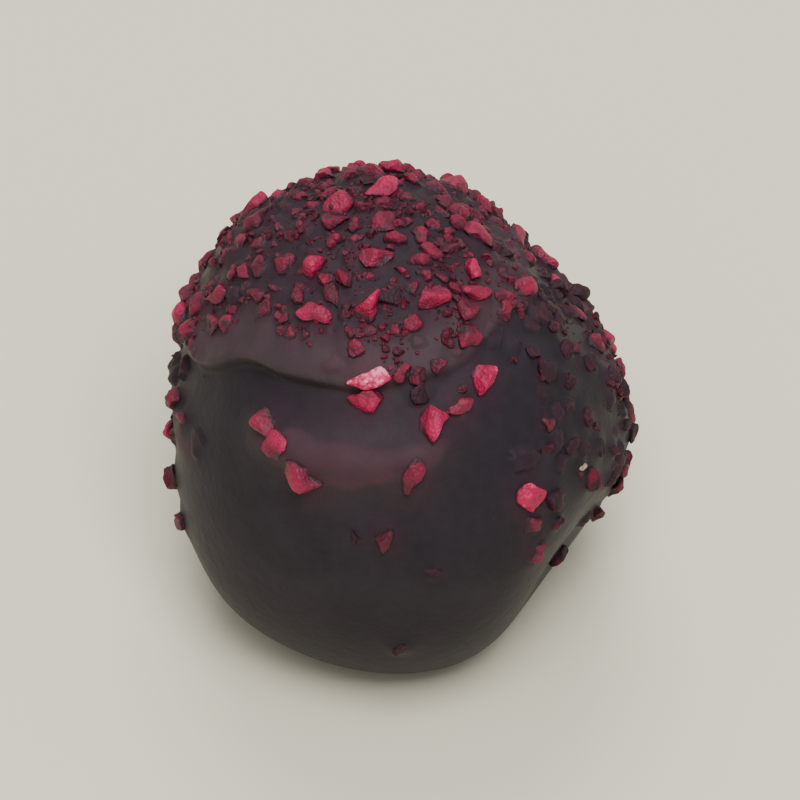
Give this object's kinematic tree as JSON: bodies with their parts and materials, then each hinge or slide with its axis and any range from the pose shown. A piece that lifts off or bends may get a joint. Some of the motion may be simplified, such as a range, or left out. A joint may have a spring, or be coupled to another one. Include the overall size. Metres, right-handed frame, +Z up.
{
  "type": "chocolate ball",
  "caption": "Dark chocolate ball, hand-rolled and uneven, with crimson berry crumbs on its crown, a folded lip of coating at the front and a flat foot to rest on.",
  "frame": {"origin": "on the surface that the ball rests on, under the middle of its width and depth", "axes": "+Z up, -Y the front, where the coating of the crown folds over a hollow, and +X to the right as seen from the front"},
  "size_m": [0.044, 0.0464, 0.0457],
  "materials": {
    "chocolate": "satin dark chocolate coating, nearly black, a little uneven",
    "berry_crumb": "crimson freeze-dried berry crumbs, partly coated with chocolate"
  },
  "bodies": {
    "root": {"chocolate_ball": "chocolate"}
  },
  "joints": []
}
